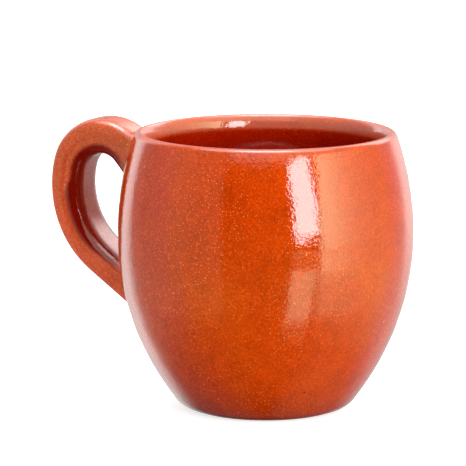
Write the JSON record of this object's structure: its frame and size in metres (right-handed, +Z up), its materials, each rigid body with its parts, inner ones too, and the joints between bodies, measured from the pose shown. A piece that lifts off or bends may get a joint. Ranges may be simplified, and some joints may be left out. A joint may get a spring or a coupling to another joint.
{
  "type": "clay mug",
  "caption": "Small barrel shaped drinking mug in glazed red earthenware, with a round lip, a flat bare foot and a pulled strap handle.",
  "frame": {"origin": "centre of the flat foot, where the cup's axis meets the table", "axes": "+Z up along the cup's axis, the handle points along -X and lies in the XZ plane"},
  "size_m": [0.1212, 0.0932, 0.089],
  "materials": {
    "bare_clay": "matte, lightly sanded, bare low-fired red clay",
    "slip_clay": "matte, smoothed with a wet finger",
    "outer_glaze": "clear gloss glaze over red clay, with pale grit specks",
    "inner_glaze": "clear gloss glaze, deeper where it pools on the floor",
    "handle_glaze": "clear gloss glaze over a ridged pulled strap"
  },
  "bodies": {
    "root": {"clay_cup": "bare_clay", "pulled_handle": "bare_clay", "upper_slip_joint": "slip_clay", "lower_slip_joint": "slip_clay", "outer_glaze": "outer_glaze", "inner_glaze": "inner_glaze", "handle_glaze": "handle_glaze"}
  },
  "joints": []
}
